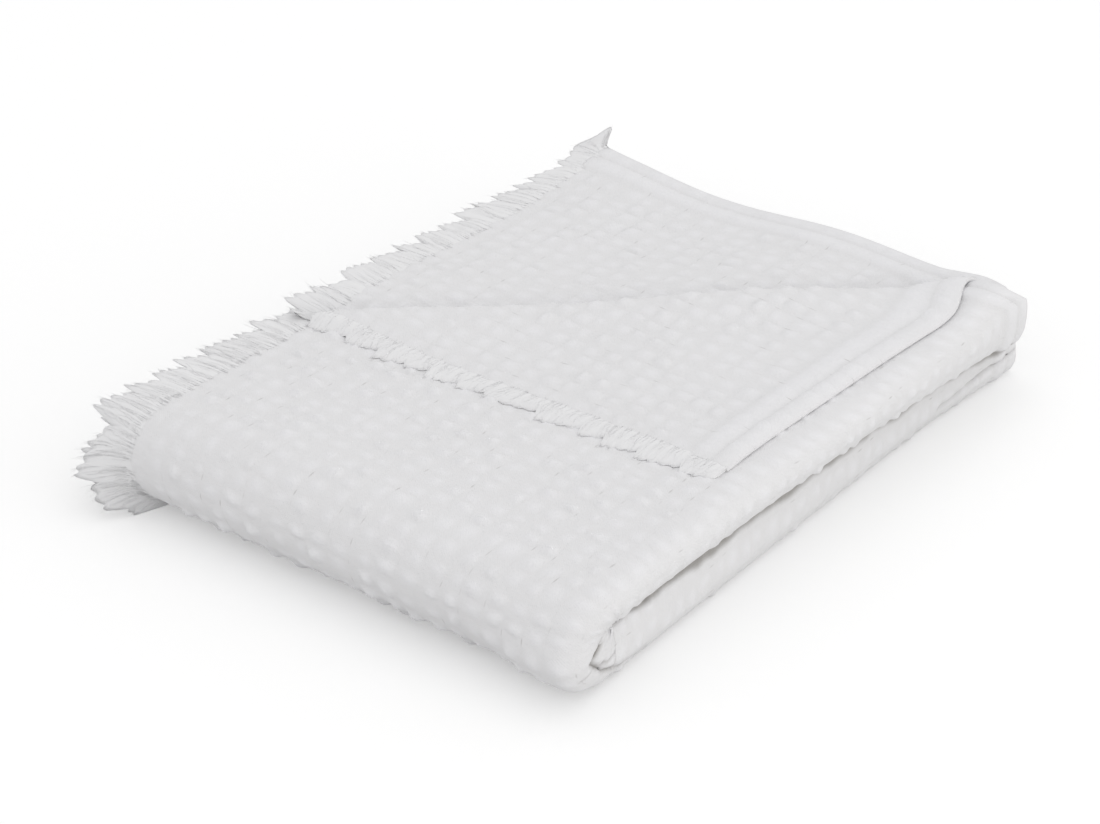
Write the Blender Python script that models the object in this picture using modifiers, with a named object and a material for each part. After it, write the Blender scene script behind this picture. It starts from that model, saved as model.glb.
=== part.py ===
"""A waffle weave cotton throw, folded into a soft pile with one corner of its top layer turned back.

The throw is one cloth with a turned hem down each long side and a cut fringe across each end.
It is folded twice along its length, which makes a pack of four layers, and then once across its
width, so eight layers lie one on another. Both fringed ends come to the back edge of the pile.

Each piece is first made flat, as it is cut, in pattern coordinates: s runs along the length from
the outer fringed end to the inner one, and t runs across the width from the hem that ends on top.
fold() then carries a point of the pattern to its place in the pile.

Metres, +Z up. The pile stands on z = 0. While it is made, x runs from its fringed edge to its
rolled edge, and y from its round front fold to the hems. centre_pile() moves it to the middle.
"""

import bisect
import math
import random
from collections import namedtuple

import bmesh
import bpy
from mathutils import Matrix, Vector

# The cloth. A hem is a turned edge, so it is a little thicker
CLOTH_WIDTH = 1.30
CLOTH_THICKNESS = 0.0036
HEM_THICKNESS = 0.0050
HEM_WIDTH = 0.028
HEM_STEP = 0.003

# The pack of four layers: how deep each layer lies, from 0 outside to 1 at the pile's middle
OUTER_DEPTH = 0.0
SECOND_DEPTH = 0.285
THIRD_DEPTH = 0.570
INNER_DEPTH = 0.857

# Where its runs end: at the rolled edge, at the fold inside the fringed edge, and at the fringes
RUN_END = 0.410
BACK_END = 0.034
OUTER_EDGE = -0.013
INNER_EDGE = -0.020
UNDER_EDGE = 0.006       # where both fringed ends lie under the pile
EDGE_FLARE = 0.010       # how much farther out they stand where they go round the front fold
LOWER_SET_BACK = 0.020   # how far the lower roll is drawn in on its way to the hems
LOWER_BEAK = 0.016       # and how far it springs out again there, from BEAK_START of the way
BEAK_START = 0.75
ROLL_SHOULDER = 0.85     # under 1, a roll bulges most close to its outer layer

# The pile: the front fold's depth, and the cloth that the upper runs and the fold take up
FRONT_FOLD_REACH = 0.056
TOP_RUN = 0.565
FRONT_FOLD = 0.157
FRONT_FOLD_ROWS = 8      # rows of the mesh round the fold, and across the runs above and under it
UPPER_ROWS = 11
UNDER_ROWS = 9
TOP_HEM_SHORT = 0.022    # the top layer's hem lies this far short of those below it
BACK_RIPPLE = 0.0028     # the top's swell along the hems
BACK_RIPPLE_PITCH = 0.22
BACK_RIPPLE_START = 0.030
BACK_TIP_REACH = 0.070   # the second layer's corner curls up a little
BACK_TIP_LIFT = 0.007

# The corner turned back: where its crease runs, how round it is, and how the flap lies
CREASE_POINT = (0.394, 0.586)
CREASE_ANGLE = math.radians(42.4)
CREASE_RADIUS = 0.0052
CREASE_ROWS = 6
CREASE_TURN = math.pi * CREASE_RADIUS
ROW_MARGIN = 0.0012      # rows of the flat mesh that cross closer than this are made one
FLAP_SPACING = 0.0066
FLAP_SETTLES_OVER = 0.110
FLAP_DEPTH = 0.285       # from the crease to the corner's tip
FLAP_DRAG = (0.048, 0.038)
BARED_OVER = 0.060       # the layers under the flap rise where it no longer lies on them
BARED_START = 0.010
BARED_SHARE = 0.92

# The fringe: a narrow backing and its locks, in step with the rows of the front fold
GAP = 0.0003
BACKING_WIDTH = 0.004
LOCKS_PER_ROW = 2
LOCK_PITCH = FRONT_FOLD / FRONT_FOLD_ROWS / LOCKS_PER_ROW
LOCK_LENGTH = 0.029
LOCK_LENGTH_VARIES = 0.006
LOCK_DROOP = 0.005
LOCK_SPREAD = 0.018      # round the front fold the locks fan out,
BEND_DROOP = 0.8         # sink by this share of their height,
BEND_LOCK_SHARE = 1.15   # and are this much longer
TUFT_WIDTH = 0.030       # the inner end's last locks stand up as a tuft at the back corner
TUFT_WAY = Vector((-0.25, 0.42, 0.87))
TUFT_FACE = Vector((-1, 0, 0))
TUFT_LOCK_SHARE = 0.75
CREASE_LOCK_SHARE = 0.4
FRAME_STEP = 0.002
FRINGE_SEED = 11

# A lock is drawn out in two parts: how far each reaches, and how it narrows, thins and leans there
LockPart = namedtuple("LockPart", "reach narrowing thinning lean")
LOCK_PARTS = (
    LockPart(reach=0.5, narrowing=0.62, thinning=0.80, lean=0.10),
    LockPart(reach=1.0, narrowing=0.30, thinning=0.45, lean=0.30),
)

# The runs and folds of the pack, in order along the cloth
Stretch = namedtuple("Stretch", "name length x_end depth_end reach rows")
STRETCHES = (
    Stretch("top run", RUN_END - OUTER_EDGE, RUN_END, OUTER_DEPTH, 0.0, 9),
    Stretch("outer roll", 0.064, RUN_END, INNER_DEPTH, 1.0, 9),
    Stretch("lower run", RUN_END - BACK_END, BACK_END, INNER_DEPTH, 0.0, 7),
    Stretch("back fold", 0.018, BACK_END, THIRD_DEPTH, -0.35, 5),
    Stretch("inner run", RUN_END - BACK_END, RUN_END, THIRD_DEPTH, 0.0, 7),
    Stretch("inner roll", 0.020, RUN_END, SECOND_DEPTH, 0.35, 5),
    Stretch("second run", RUN_END - INNER_EDGE, INNER_EDGE, SECOND_DEPTH, 0.0, 9),
)
CLOTH_LENGTH = sum(stretch.length for stretch in STRETCHES)

# The slow swell of the top
Wave = namedtuple("Wave", "height x_rate y_rate start")
WAVES = (
    Wave(height=0.0012, x_rate=13.0, y_rate=9.0, start=0.0),
    Wave(height=0.0009, x_rate=-8.0, y_rate=21.0, start=1.1),
)

# Heights and reaches at the pile's four corners, as seen from above
Corners = namedtuple("Corners", "left front back right")
TOP_HEIGHT = Corners(left=0.089, front=0.089, back=0.075, right=0.092)
MIDDLE_HEIGHT = Corners(left=0.045, front=0.052, back=0.037, right=0.037)
UPPER_ROLL_REACH = Corners(left=0.025, front=0.025, back=0.024, right=0.024)
LOWER_ROLL_REACH = Corners(left=0.020, front=0.020, back=0.012, right=0.012)


def clamp(value):
    return min(1.0, max(0.0, value))


def soft_step(value):
    value = clamp(value)
    return value * value * (3 - 2 * value)


def between(corners, x, y):
    """A value at a place in the pile, from its values at the four corners."""
    across = clamp(x / RUN_END)
    along = clamp(y / TOP_RUN)
    near = corners.left + (corners.front - corners.left) * across
    far = corners.back + (corners.right - corners.back) * across
    return near + (far - near) * along


def hand_wave(x, y):
    """The slow swell of a pile that was folded and patted down by hand."""
    crest = math.cos(math.tau * (x - BACK_RIPPLE_START) / BACK_RIPPLE_PITCH)
    ripple = BACK_RIPPLE * clamp(y / TOP_RUN) ** 2 * crest
    return ripple + sum(
        wave.height * math.sin(wave.x_rate * x + wave.y_rate * y + wave.start) for wave in WAVES
    )


def crease_distances(x, y):
    """How far a place in plan lies along the crease, and behind it towards the back corner."""
    from_x = x - CREASE_POINT[0]
    from_y = y - CREASE_POINT[1]
    cosine, sine = math.cos(CREASE_ANGLE), math.sin(CREASE_ANGLE)
    return from_x * cosine + from_y * sine, from_y * cosine - from_x * sine


def round_crease(behind):
    """The cloth's half turn round the crease, flat between its scored rows: offset and lift."""
    row = math.floor(behind / CREASE_TURN * CREASE_ROWS)
    share = behind / CREASE_TURN * CREASE_ROWS - row
    angles = [math.pi * (row + i) / CREASE_ROWS for i in (0, 1)]
    offsets = [CREASE_RADIUS * math.sin(angle) for angle in angles]
    lifts = [CREASE_RADIUS * (1 - math.cos(angle)) for angle in angles]
    return (
        offsets[0] + (offsets[1] - offsets[0]) * share,
        lifts[0] + (lifts[1] - lifts[0]) * share,
    )


def turned_back(x, y):
    """The plan place and the lift of a point of the top layer, behind the crease laid back over it."""
    along, behind = crease_distances(x, y)
    if behind <= 0:
        return x, y, 0.0
    if behind < CREASE_TURN:
        offset, lift = round_crease(behind)
    else:
        offset = CREASE_TURN - behind
        settled = soft_step(-offset / FLAP_SETTLES_OVER)
        lift = 2 * CREASE_RADIUS + (FLAP_SPACING - 2 * CREASE_RADIUS) * settled
    cosine, sine = math.cos(CREASE_ANGLE), math.sin(CREASE_ANGLE)
    drag = max(0.0, -offset) / FLAP_DEPTH
    return (
        CREASE_POINT[0] + along * cosine - offset * sine + FLAP_DRAG[0] * drag,
        CREASE_POINT[1] + along * sine + offset * cosine + FLAP_DRAG[1] * drag,
        lift,
    )


def hem_share(t):
    """1 in the hems, 0 in the cloth between them, and a short slope from one to the other."""
    from_side = min(t, CLOTH_WIDTH - t)
    return clamp((HEM_WIDTH + HEM_STEP - from_side) / HEM_STEP)


def drawn_in(share):
    """How far in the lower roll lies, at this share of the way from the front fold to the hems."""
    return LOWER_SET_BACK * share - LOWER_BEAK * soft_step((share - BEAK_START) / (1 - BEAK_START))


def pack_place(s, run_end, roll_reach, outer_edge, inner_edge):
    """Where a point s along the cloth lies in the four-layer pack: x, its depth, and its stretch."""
    start, x_start, depth_start = 0.0, outer_edge, OUTER_DEPTH
    for stretch in STRETCHES:
        x_end = {RUN_END: run_end, INNER_EDGE: inner_edge}.get(stretch.x_end, stretch.x_end)
        if s <= start + stretch.length or stretch is STRETCHES[-1]:
            break
        start += stretch.length
        x_start, depth_start = x_end, stretch.depth_end
    share = (s - start) / stretch.length
    if stretch.reach == 0:
        return x_start + (x_end - x_start) * share, stretch.depth_end, stretch.name
    middle = (depth_start + stretch.depth_end) / 2
    half = (stretch.depth_end - depth_start) / 2
    bulge = math.sin(math.pi * share ** ROLL_SHOULDER)
    x = x_start + (x_end - x_start) * share + stretch.reach * roll_reach * bulge
    return x, middle - half * math.cos(math.pi * share), stretch.name


def fold(s, t):
    """The place in the pile of the point (s, t) of the flat pattern."""
    turn = math.pi * clamp((t - TOP_RUN) / FRONT_FOLD)
    run = max(TOP_RUN - t, t - TOP_RUN - FRONT_FOLD, 0.0)
    lower = (1 - math.cos(turn)) / 2
    y_run = FRONT_FOLD_REACH + run
    upper_reach = between(UPPER_ROLL_REACH, RUN_END, y_run)
    roll_reach = upper_reach + (between(LOWER_ROLL_REACH, RUN_END, y_run) - upper_reach) * lower
    x, depth, name = pack_place(
        s,
        RUN_END - lower * drawn_in(clamp(run / TOP_RUN)),
        roll_reach,
        OUTER_EDGE + (UNDER_EDGE - OUTER_EDGE) * lower - EDGE_FLARE * math.sin(turn),
        INNER_EDGE + (UNDER_EDGE - INNER_EDGE) * lower - EDGE_FLARE * math.sin(turn),
    )
    y = y_run - FRONT_FOLD_REACH * (1 - depth) * math.sin(turn)
    if turn == 0:
        y -= TOP_HEM_SHORT * run / TOP_RUN * clamp(1 - depth / SECOND_DEPTH)
    lift = 0.0
    if name == "top run" and turn == 0:
        x, y, lift = turned_back(x, y)
    elif turn == 0:
        bared = BARED_SHARE * soft_step((crease_distances(x, y)[1] + BARED_START) / BARED_OVER)
        depth -= bared * SECOND_DEPTH * (1 - depth) / (1 - SECOND_DEPTH)
        if name == "second run":
            corner = math.hypot(x - INNER_EDGE, y - FRONT_FOLD_REACH - TOP_RUN)
            lift = BACK_TIP_LIFT * clamp(1 - corner / BACK_TIP_REACH) ** 2
    middle = between(MIDDLE_HEIGHT, x, y)
    if turn < math.pi / 2:
        outside = between(TOP_HEIGHT, x, y) + hand_wave(x, y) - CLOTH_THICKNESS / 2
    else:
        outside = (CLOTH_THICKNESS + (HEM_THICKNESS - CLOTH_THICKNESS) * hem_share(t)) / 2
    z = middle + (outside - middle) * (1 - depth) * abs(math.cos(turn)) + lift
    return Vector((x, y, z))


def rows(start, length, count):
    return [start + length * i / count for i in range(1, count + 1)]


def pattern_rows_along():
    """Where the flat cloth is scored along its length: a few rows on each run, more at each fold."""
    scored, start = [], 0.0
    for stretch in STRETCHES:
        scored += rows(start, stretch.length, stretch.rows)
        start += stretch.length
    return scored[:-1]


def pattern_rows_across():
    """Where it is scored across its width: the hems, two runs, and the front fold."""
    bottom_start = TOP_RUN + FRONT_FOLD
    bottom_run = CLOTH_WIDTH - bottom_start
    scored = [HEM_WIDTH, HEM_WIDTH + HEM_STEP]
    scored += rows(HEM_WIDTH + HEM_STEP, TOP_RUN - HEM_WIDTH - HEM_STEP, UPPER_ROWS)
    scored += rows(TOP_RUN, FRONT_FOLD, FRONT_FOLD_ROWS)
    scored += rows(bottom_start, bottom_run - HEM_WIDTH - HEM_STEP, UNDER_ROWS)
    return [*scored, CLOTH_WIDTH - HEM_WIDTH]


def score(mesh, place, normal):
    geometry = mesh.verts[:] + mesh.edges[:] + mesh.faces[:]
    bmesh.ops.bisect_plane(mesh, geom=geometry, plane_co=place, plane_no=normal, dist=1e-6)


def cotton(name, colour, roughness):
    material = bpy.data.materials.new(name)
    material.use_nodes = True
    shader = material.node_tree.nodes["Principled BSDF"]
    shader.inputs["Base Color"].default_value = (*colour, 1)
    shader.inputs["Roughness"].default_value = roughness
    shader.inputs["Metallic"].default_value = 0.0
    return material


def add_object(name, mesh, material, collection):
    data = bpy.data.meshes.new(name)
    mesh.to_mesh(data)
    mesh.free()
    data.materials.append(material)
    data.shade_smooth()
    made = bpy.data.objects.new(name, data)
    collection.objects.link(made)
    return made


def make_cloth(material, collection):
    """The whole cloth as one sheet, scored flat, folded, and thickened with its hems."""
    mesh = bmesh.new()
    corner = ((0, 0, 0), (CLOTH_LENGTH, 0, 0), (CLOTH_LENGTH, CLOTH_WIDTH, 0), (0, CLOTH_WIDTH, 0))
    mesh.faces.new([mesh.verts.new(place) for place in corner])
    for s in pattern_rows_along():
        score(mesh, (s, 0, 0), (1, 0, 0))
    for t in pattern_rows_across():
        score(mesh, (0, t, 0), (0, 1, 0))
    score_crease(mesh)
    bmesh.ops.remove_doubles(mesh, verts=mesh.verts[:], dist=ROW_MARGIN)
    patterns = [vertex.co.copy() for vertex in mesh.verts]
    for vertex, flat in zip(mesh.verts, patterns):
        vertex.co = fold(flat.x, flat.y)
    cloth = add_object("waffle_cloth", mesh, material, collection)
    hem = cloth.vertex_groups.new(name="hem")
    for index, flat in enumerate(patterns):
        hem.add([index], hem_share(flat.y), "REPLACE")
    solid = cloth.modifiers.new("Thickness", "SOLIDIFY")
    solid.thickness = HEM_THICKNESS
    solid.offset = 0
    solid.use_quality_normals = True
    solid.vertex_group = hem.name
    solid.thickness_vertex_group = CLOTH_THICKNESS / HEM_THICKNESS
    return cloth


def crease_in_pattern():
    """The crease on the flat cloth: a point of it, and the way to the corner. There y falls as t grows."""
    y_share = 1 - TOP_HEM_SHORT / TOP_RUN
    t = TOP_RUN - (CREASE_POINT[1] - FRONT_FOLD_REACH) / y_share
    point = Vector((CREASE_POINT[0] - OUTER_EDGE, t, 0))
    normal = Vector((-math.sin(CREASE_ANGLE), -math.cos(CREASE_ANGLE) * y_share, 0))
    return point, normal


def score_crease(mesh):
    point, normal = crease_in_pattern()
    for i in range(CREASE_ROWS + 1):
        behind = normal * (CREASE_TURN * i / CREASE_ROWS / normal.length_squared)
        score(mesh, point + behind, normal)


def crease_on_edge(end_s):
    """Where the crease's rows cross the outer fringed end, which alone is turned back."""
    if end_s > 0:
        return []
    point, normal = crease_in_pattern()
    start = point.y + point.x * normal.x / normal.y
    return sorted(start + CREASE_TURN * i / CREASE_ROWS / normal.y for i in range(CREASE_ROWS + 1))


def edge_point(end_s, t, places):
    """A point of the cloth's edge, straight between its mesh rows."""
    after = min(max(bisect.bisect_right(places, t), 1), len(places) - 1)
    start, end = places[after - 1], places[after]
    return fold(end_s, start).lerp(fold(end_s, end), clamp((t - start) / (end - start)))


def fringe_place(end_s, inside, places, flat):
    """Where a point of the flat fringe goes: x is its reach out of the cloth, z its height on it."""
    t = min(max(flat.y, 0.0), CLOTH_WIDTH)
    outward = Vector()
    for near in (max(t - FRAME_STEP, 0.0), min(t + FRAME_STEP, CLOTH_WIDTH)):
        outward += fold(end_s, near) - fold(end_s + inside * FRAME_STEP, near)
    outward.normalize()
    edge = edge_point(end_s, t, places)
    along = edge_point(end_s, t + FRAME_STEP, places) - edge_point(end_s, t - FRAME_STEP, places)
    face = outward.cross(along).normalized() * inside
    turn = math.pi * clamp((t - TOP_RUN) / FRONT_FOLD)
    curve = (flat.x / LOCK_LENGTH) ** 2
    droop = LOCK_DROOP * math.cos(turn) * curve if turn < math.pi / 2 and face.z > 0 else 0.0
    droop += BEND_DROOP * edge.z * math.sin(turn) * (1 - math.cos(turn)) / 2 * curve
    spread = LOCK_SPREAD * math.sqrt(math.sin(turn)) * curve
    beyond = max(flat.x - GAP - BACKING_WIDTH, 0.0)
    tuft = math.sqrt(clamp(1 - t / TUFT_WIDTH)) if end_s > 0 and beyond > 0 else 0.0
    root = edge + outward * (flat.x - beyond)
    lock = outward.lerp(TUFT_WAY, tuft) * beyond + face.lerp(TUFT_FACE, tuft) * flat.z
    return root + lock - Vector((0, spread, droop))


def lock_rows(crease):
    """Where a fringe's backing is scored into locks, in step with the front fold and the crease."""
    first = TOP_RUN % LOCK_PITCH
    even = [first + i * LOCK_PITCH for i in range(int((CLOTH_WIDTH - first) / LOCK_PITCH) + 1)]
    if crease:
        margin = LOCK_PITCH / 3
        even = [t for t in even if not crease[0] - margin < t < crease[-1] + margin]
    return even + crease


def drawn_out(mesh, face, part, length, lean):
    """Draws part of a lock out of a face of the flat backing. It thins towards the cloth's outer side."""
    drawn = bmesh.ops.extrude_discrete_faces(mesh, faces=[face])["faces"][0]
    middle = drawn.calc_center_median()
    outer = max(vertex.co.z for vertex in drawn.verts)
    for vertex in drawn.verts:
        vertex.co.x = GAP + length * part.reach
        vertex.co.y = middle.y + (vertex.co.y - middle.y) * part.narrowing + lean * part.lean
        vertex.co.z = outer + (vertex.co.z - outer) * part.thinning
    return drawn


def make_fringe(name, end_s, inside, material, collection, chance):
    """One fringed end: a narrow backing just off the cloth's edge, and the locks drawn out of it."""
    mesh = bmesh.new()
    bmesh.ops.create_cube(mesh, size=1)
    middle = Vector((GAP + BACKING_WIDTH / 2, CLOTH_WIDTH / 2, 0))
    for vertex in mesh.verts:
        sized = Vector((BACKING_WIDTH, CLOTH_WIDTH, CLOTH_THICKNESS))
        vertex.co = middle + Vector(a * b for a, b in zip(vertex.co, sized))
    crease = crease_on_edge(end_s)
    places = sorted([0.0, *pattern_rows_across(), CLOTH_WIDTH, *crease])
    for t in lock_rows(crease):
        score(mesh, (0, t, 0), (0, 1, 0))
    roots = [face for face in mesh.faces if face.normal.x > 0.9]
    roots.sort(key=lambda face: face.calc_center_median().y)
    for root in roots:
        width = max(edge.calc_length() for edge in root.edges)
        length = LOCK_LENGTH + LOCK_LENGTH_VARIES * chance.uniform(-1, 1)
        length *= 1.0 if width > LOCK_PITCH / 2 else CREASE_LOCK_SHARE
        t = root.calc_center_median().y
        length *= 1 + (BEND_LOCK_SHARE - 1) * math.sin(math.pi * clamp((t - TOP_RUN) / FRONT_FOLD))
        length *= TUFT_LOCK_SHARE if end_s > 0 and t < TUFT_WIDTH else 1.0
        lean = chance.uniform(-1, 1) * min(width, LOCK_PITCH)
        for part in LOCK_PARTS:
            root = drawn_out(mesh, root, part, length, lean)
    for vertex in mesh.verts:
        vertex.co = fringe_place(end_s, inside, places, vertex.co)
    if mesh.calc_volume(signed=True) < 0:
        bmesh.ops.reverse_faces(mesh, faces=mesh.faces[:])
    return add_object(name, mesh, material, collection)


def centre_pile(pieces):
    """Moves the whole pile so that its box stands centred on the origin."""
    bpy.context.view_layer.update()
    graph = bpy.context.evaluated_depsgraph_get()
    corners = [Vector(c) for piece in pieces for c in piece.evaluated_get(graph).bound_box]
    low = [min(c[axis] for c in corners) for axis in range(3)]
    high = [max(c[axis] for c in corners) for axis in range(3)]
    shift = Matrix.Translation((-(low[0] + high[0]) / 2, -(low[1] + high[1]) / 2, -low[2]))
    for piece in pieces:
        piece.data.transform(shift)


def main():
    for old in list(bpy.data.objects):
        bpy.data.objects.remove(old, do_unlink=True)
    pile = bpy.data.collections.new("folded_waffle_throw")
    bpy.context.scene.collection.children.link(pile)
    woven = cotton("waffle_cotton", (0.86, 0.86, 0.87), 0.92)
    loose = cotton("fringe_cotton", (0.88, 0.88, 0.88), 0.95)
    chance = random.Random(FRINGE_SEED)
    pieces = [make_cloth(woven, pile)]
    pieces.append(make_fringe("outer_fringe", 0.0, 1, loose, pile, chance))
    pieces.append(make_fringe("inner_fringe", CLOTH_LENGTH, -1, loose, pile, chance))
    centre_pile(pieces)


main()
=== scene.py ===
# %% [markdown]
# # A folded waffle throw
#
# The real thing is one length of white cotton, woven so that every small square of it puffs up.
# Its two long sides are turned over and stitched into hems, and its two short ends are left as a
# cut fringe. It lies folded in eight layers, and one corner of the top layer is turned back.
#
# This lesson dresses the plain solids of that pile. It weaves a finer cloth on the same folds,
# adds the fringe yarn by yarn, and gives both a cotton finish. All sizes are in metres.

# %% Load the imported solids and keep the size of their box
import math
import random
from collections import namedtuple

import bmesh
import bpy
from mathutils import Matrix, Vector, noise


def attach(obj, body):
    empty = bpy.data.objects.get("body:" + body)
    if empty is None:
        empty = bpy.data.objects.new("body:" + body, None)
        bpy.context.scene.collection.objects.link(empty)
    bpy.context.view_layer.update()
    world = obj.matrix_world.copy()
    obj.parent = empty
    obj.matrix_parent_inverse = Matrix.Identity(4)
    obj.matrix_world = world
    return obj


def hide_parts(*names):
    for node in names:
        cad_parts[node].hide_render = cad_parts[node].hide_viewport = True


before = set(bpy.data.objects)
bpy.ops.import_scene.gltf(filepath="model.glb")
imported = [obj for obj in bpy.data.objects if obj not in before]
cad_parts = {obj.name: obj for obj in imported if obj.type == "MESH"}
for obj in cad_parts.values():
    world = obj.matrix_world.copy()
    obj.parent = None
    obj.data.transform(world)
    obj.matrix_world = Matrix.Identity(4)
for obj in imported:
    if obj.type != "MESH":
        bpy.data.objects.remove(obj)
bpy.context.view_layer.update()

# %% [markdown]
# ## Where the camera stands
#
# The photograph looks down on the pile from its front corner, through a long lens, so the edges
# hardly run together. A camera is easiest to set up by the point it looks at, the way it looks and
# its distance, because those three can be changed one at a time. A separate script fitted these
# values to the throw's outline and to points picked in the photograph.

# %% Camera
LOOK_AT = Vector((-0.0407, 0.0318, 0.0))
CAMERA_TURN = math.radians(38.3)
CAMERA_HEIGHT = math.radians(30.69)
CAMERA_DISTANCE = 2.689
LENS = 104.7

back = Vector((
    math.sin(CAMERA_TURN) * math.cos(CAMERA_HEIGHT),
    -math.cos(CAMERA_TURN) * math.cos(CAMERA_HEIGHT),
    math.sin(CAMERA_HEIGHT),
))
camera = bpy.data.objects.new("camera", bpy.data.cameras.new("camera"))
bpy.context.scene.collection.objects.link(camera)
camera.data.lens = LENS
camera.location = LOOK_AT + back * CAMERA_DISTANCE
camera.rotation_euler = (-back).to_track_quat("-Z", "Y").to_euler()
bpy.context.scene.camera = camera
print("camera at", [round(v, 2) for v in camera.location])

# %% [markdown]
# ## The folds
#
# A maker would lay the cloth flat and fold it by hand. The script does the same with a function.
# Every point of the flat cloth has two numbers: s runs along the length from the outer fringed end,
# and t runs across the width from the hem that ends on top. fold() takes s and t and gives the
# place of that point in the pile.
#
# A cloth simulation could fold a sheet as well, but eight layers that slide on each other are slow
# and never stop where the photograph has them. A function puts each fold exactly where it shows.
#
# The source of the solids moves its pile so that its box stands centred. PILE_MIDDLE is that shift,
# measured on the source's own pile. The top run, the front fold's reach, the heights at the corners
# and the reach of the rolls started from the camera's fit, and were rounded and changed.

# %% Sizes of the cloth and of the pile
CLOTH_WIDTH = 1.30
RUN_END = 0.410
BACK_END = 0.034
OUTER_EDGE = -0.013
INNER_EDGE = -0.020
SECOND_DEPTH = 0.285
INNER_DEPTH = 0.950
FRONT_FOLD_REACH = 0.056
TOP_RUN = 0.565
FRONT_FOLD = 0.157
PILE_MIDDLE = Vector((0.18913, 0.30188, 0.0))

Stretch = namedtuple("Stretch", "name length x_end depth_end reach")
STRETCHES = (
    Stretch("top run", RUN_END - OUTER_EDGE, RUN_END, 0.0, 0.0),
    Stretch("outer roll", 0.064, RUN_END, INNER_DEPTH, 1.0),
    Stretch("lower run", RUN_END - BACK_END, BACK_END, INNER_DEPTH, 0.0),
    Stretch("back fold", 0.018, BACK_END, 0.570, -0.35),
    Stretch("inner run", RUN_END - BACK_END, RUN_END, 0.570, 0.0),
    Stretch("inner roll", 0.020, RUN_END, SECOND_DEPTH, 0.35),
    Stretch("second run", RUN_END - INNER_EDGE, INNER_EDGE, SECOND_DEPTH, 0.0),
)
CLOTH_LENGTH = sum(stretch.length for stretch in STRETCHES)
Corners = namedtuple("Corners", "left front back right")
TOP_HEIGHT = Corners(left=0.089, front=0.089, back=0.075, right=0.092)
MIDDLE_HEIGHT = Corners(left=0.045, front=0.052, back=0.037, right=0.037)
UPPER_ROLL_REACH = Corners(left=0.025, front=0.025, back=0.024, right=0.024)
LOWER_ROLL_REACH = Corners(left=0.020, front=0.020, back=0.012, right=0.012)
print(f"the flat cloth is {CLOTH_LENGTH:.3f} by {CLOTH_WIDTH:.2f} m")

# %% Small helpers for soft changes between sizes
def clamp(value):
    return min(1.0, max(0.0, value))


def soft_step(value):
    value = clamp(value)
    return value * value * (3 - 2 * value)


def mix(start, end, share):
    return start + (end - start) * share


def between(corners, x, y):
    """A value at a place in the pile, from its values at the four corners."""
    across, along = clamp(x / RUN_END), clamp(y / TOP_RUN)
    near = mix(corners.left, corners.front, across)
    far = mix(corners.back, corners.right, across)
    return mix(near, far, along)


# %% [markdown]
# ## The corner that is turned back
#
# Behind a slanting crease the top layer goes round a narrow bend and comes back over itself, so its
# reverse shows. That is a mirror image in plan, plus the height of the bend. The corner was also
# dragged a little along the pile as it was laid down, and its hem swings out towards the roll.

# %% The crease and the flap
CREASE_POINT = (0.394, 0.586)
CREASE_ANGLE = math.radians(42.4)
CREASE_RADIUS = 0.0052
CREASE_TURN = math.pi * CREASE_RADIUS
FLAP_SPACING = 0.0060
FLAP_SETTLES_OVER = 0.055
FLAP_DEPTH = 0.285
FLAP_DRAG = (0.048, 0.038)
FLAP_END_SINKS = 0.0024
FLAP_END_OVER = 0.030
FLAP_SIDE_SINKS = 0.40
FLAP_SIDE_OVER = 0.012
FLAP_SWING = 0.020
FLAP_SWING_START = 0.06
FLAP_SWING_OVER = 0.36
FLAP_SWING_LEAN = 1.2
FLAP_SWING_WIDTH = 0.10
FLAP_SWING_FADE = 0.04


def crease_distances(x, y):
    """How far a place in plan lies along the crease, and behind it towards the back corner."""
    from_x, from_y = x - CREASE_POINT[0], y - CREASE_POINT[1]
    cosine, sine = math.cos(CREASE_ANGLE), math.sin(CREASE_ANGLE)
    return from_x * cosine + from_y * sine, from_y * cosine - from_x * sine


def turned_back(x, y):
    """The plan place and the lift of a point of the top layer, laid back over its crease."""
    along, behind = crease_distances(x, y)
    if behind <= 0:
        return x, y, 0.0
    if behind < CREASE_TURN:
        angle = behind / CREASE_RADIUS
        offset = CREASE_RADIUS * math.sin(angle)
        lift = CREASE_RADIUS * (1 - math.cos(angle))
    else:
        offset = CREASE_TURN - behind
        lift = mix(2 * CREASE_RADIUS, FLAP_SPACING, soft_step(-offset / FLAP_SETTLES_OVER))
    cosine, sine = math.cos(CREASE_ANGLE), math.sin(CREASE_ANGLE)
    drag = max(0.0, -offset) / FLAP_DEPTH
    return (
        CREASE_POINT[0] + along * cosine - offset * sine + FLAP_DRAG[0] * drag,
        CREASE_POINT[1] + along * sine + offset * cosine + FLAP_DRAG[1] * drag,
        lift,
    )


# %% [markdown]
# ## The pack of layers
#
# Seen from the front, the cloth runs to the rolled edge, round it, back inside, round a narrow fold
# and out again, and so on: a table of runs and folds says how long each is. Depth is 0 on the
# outside of the pack and 1 at the middle of the pile. The whole pack is then bent double round the
# front fold, so the same depth counts from the top of the pile and from its underside.
#
# What a hand leaves in a pile is added on the way: a slow swell, a lip at the foot of the front
# corner, a lobe and a rounded shoulder where the upper roll ends, and a raised back corner.

# %% The swell of the pile
BACK_RIPPLE = 0.0028
BACK_RIPPLE_PITCH = 0.22
BACK_RIPPLE_START = 0.030
CREASE_RISE = 0.0125
CREASE_RISE_END = 0.600
CREASE_RISE_LEAN = 1.3
CREASE_RISE_ROUND = 0.6
CREASE_RISE_X = 0.15
CREASE_RISE_OVER = 0.20
Wave = namedtuple("Wave", "height x_rate y_rate start")
WAVES = (Wave(0.0012, 13.0, 9.0, 0.0), Wave(0.0009, -8.0, 21.0, 1.1))


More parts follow.
